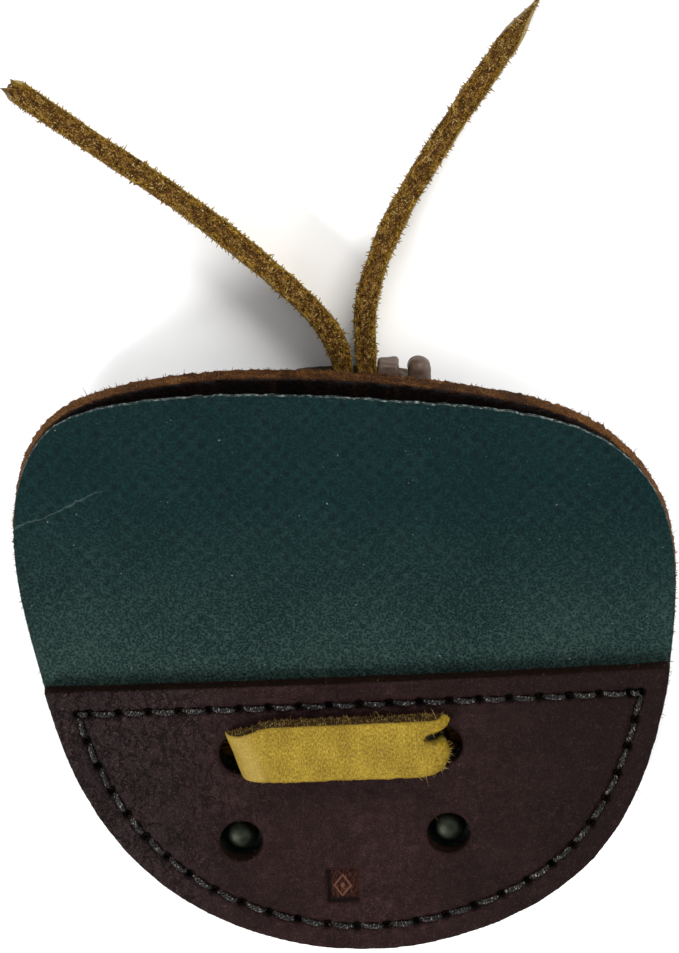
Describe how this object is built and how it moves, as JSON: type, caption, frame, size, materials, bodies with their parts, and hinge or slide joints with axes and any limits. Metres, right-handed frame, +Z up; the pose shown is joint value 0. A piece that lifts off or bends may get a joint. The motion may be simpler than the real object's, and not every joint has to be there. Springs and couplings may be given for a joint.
{
  "type": "pick holder",
  "caption": "Small leather pouch for guitar picks, with a tarpaulin pocket front, a sewn half-moon lower panel and a flat leather lace knotted behind the rim.",
  "frame": {"origin": "centre of the pouch's plan, measured without the lace's free ends, at the height of the table that it lies on", "axes": "+Z up, out of the pouch's front as it lies on a table; +Y from the sewn foot towards the open mouth and the lace's free ends; +X to the right as the front is read. The body leans 7 degrees: its foot is on the table and its rim rests on the lace's knot"},
  "size_m": [0.082, 0.1199, 0.0187],
  "materials": {
    "panel_leather": "thick brown leather with a raw cut rim",
    "moon_leather": "dark brown oiled leather, fine grain",
    "tarpaulin": "coated tarpaulin, satin, fine pebble over a woven scrim",
    "thread": "twisted waxed thread",
    "lace_leather": "ochre smooth grain with a fibrous cut edge",
    "rivet_metal": "black nickel"
  },
  "bodies": {
    "pouch": {"back_panel": "panel_leather", "tarp_lower": "tarpaulin", "half_moon": "moon_leather", "edge_thread_front": "thread", "edge_thread_back": "thread", "top_thread_front": "thread", "top_thread_back": "thread", "tie_lace": "lace_leather", "lace_knot": "lace_leather", "lace_tail_left": "lace_leather", "lace_tail_right": "lace_leather", "rivet_caps_front": "rivet_metal", "rivet_caps_back": "rivet_metal"},
    "pocket_flap": {"tarp_flap": "tarpaulin"}
  },
  "joints": [
    {"name": "mouth_open", "type": "hinge", "parent": "pouch", "child": "pocket_flap", "pos_m": [-0.00091, -0.00171, 0.00817], "axis": [0.9991, 0.0416, 0.0051], "range_deg": [0, 35], "stiffness_Nm_per_rad": 0.004}
  ]
}
